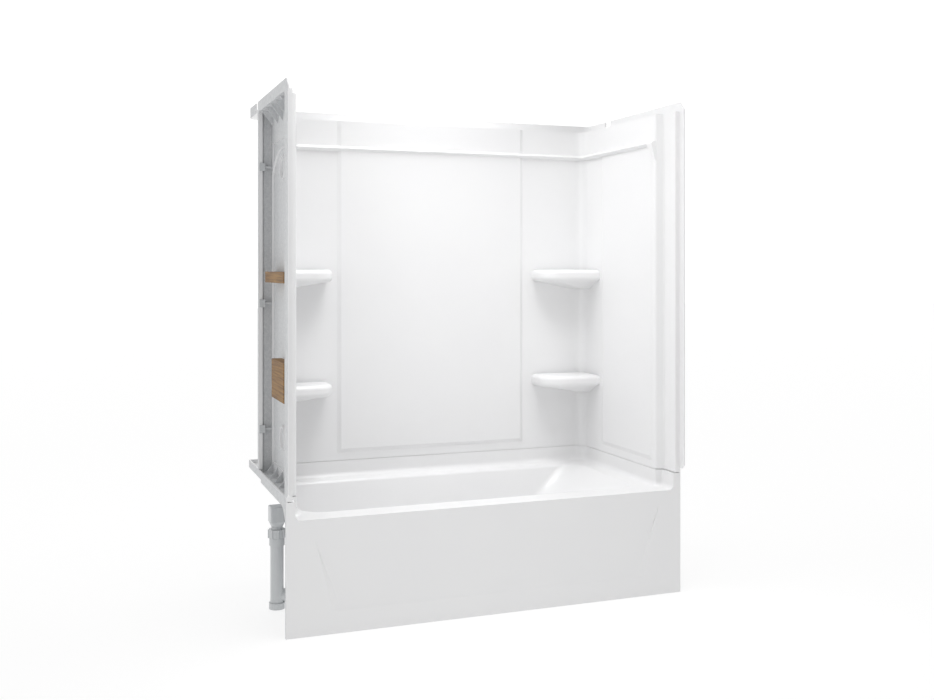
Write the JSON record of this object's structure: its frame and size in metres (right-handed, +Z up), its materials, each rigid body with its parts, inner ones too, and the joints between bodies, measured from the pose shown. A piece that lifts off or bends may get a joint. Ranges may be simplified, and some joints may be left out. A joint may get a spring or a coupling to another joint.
{
  "type": "tub and shower unit",
  "caption": "Modular alcove bath with integral apron, ledged shower walls with corner shelves, backer boards and a lever-worked waste and overflow.",
  "frame": {"origin": "on the floor, midway between the ends and midway between the front and back of the whole unit", "axes": "+X along the bath away from the drain end, +Y from the apron to the back wall, +Z up"},
  "size_m": [1.524, 0.794, 1.88],
  "materials": {
    "bath_white": "glossy moulded, white",
    "wall_white": "glossy moulded, white",
    "clip_plastic": "moulded, pale grey",
    "board_wood": "raw softwood board",
    "foam": "closed-cell foam",
    "pipe_grey": "moulded, grey",
    "seal_rubber": "soft black rubber",
    "chrome": "polished plate",
    "brass": "turned brass"
  },
  "bodies": {
    "unit": {"bath": "bath_white", "back_wall": "wall_white", "left_end_wall": "wall_white", "right_end_wall": "wall_white", "left_seam_clips": "clip_plastic", "right_seam_clips": "clip_plastic", "left_upper_board": "board_wood", "left_lower_board": "board_wood", "right_upper_board": "board_wood", "right_lower_board": "board_wood", "back_board": "board_wood", "foam_support": "foam", "outlet_collar": "pipe_grey", "standpipe_tee": "pipe_grey", "overflow_adapter": "pipe_grey", "overflow_nut": "pipe_grey", "overflow_elbow": "pipe_grey", "branch_nut": "pipe_grey", "waste_shoe": "pipe_grey", "overflow_seal": "seal_rubber", "overflow_gasket": "seal_rubber", "branch_seal": "seal_rubber", "drain_gasket": "seal_rubber", "overflow_plate": "chrome", "plate_screws": "chrome", "drain_flange": "chrome", "strainer": "chrome", "strainer_screw": "chrome", "lever_pin": "brass"},
    "lever": {"trip_lever": "chrome"},
    "stopper": {"linkage_yoke": "brass", "linkage_nuts": "brass", "linkage_rod": "brass", "plunger": "brass"}
  },
  "joints": [
    {"name": "lever_turn", "type": "hinge", "parent": "unit", "child": "lever", "pos_m": [-0.676, -0.022, 0.34], "axis": [0, 1, 0], "range_deg": [-30, 0]},
    {"name": "stopper_slide", "type": "slide", "parent": "unit", "child": "stopper", "axis": [0, 0, 1], "range_m": [-0.02695, 0]}
  ],
  "couplings": [
    {"joint": "stopper_slide", "follows": "lever_turn", "m_per_rad": 0.05141}
  ]
}
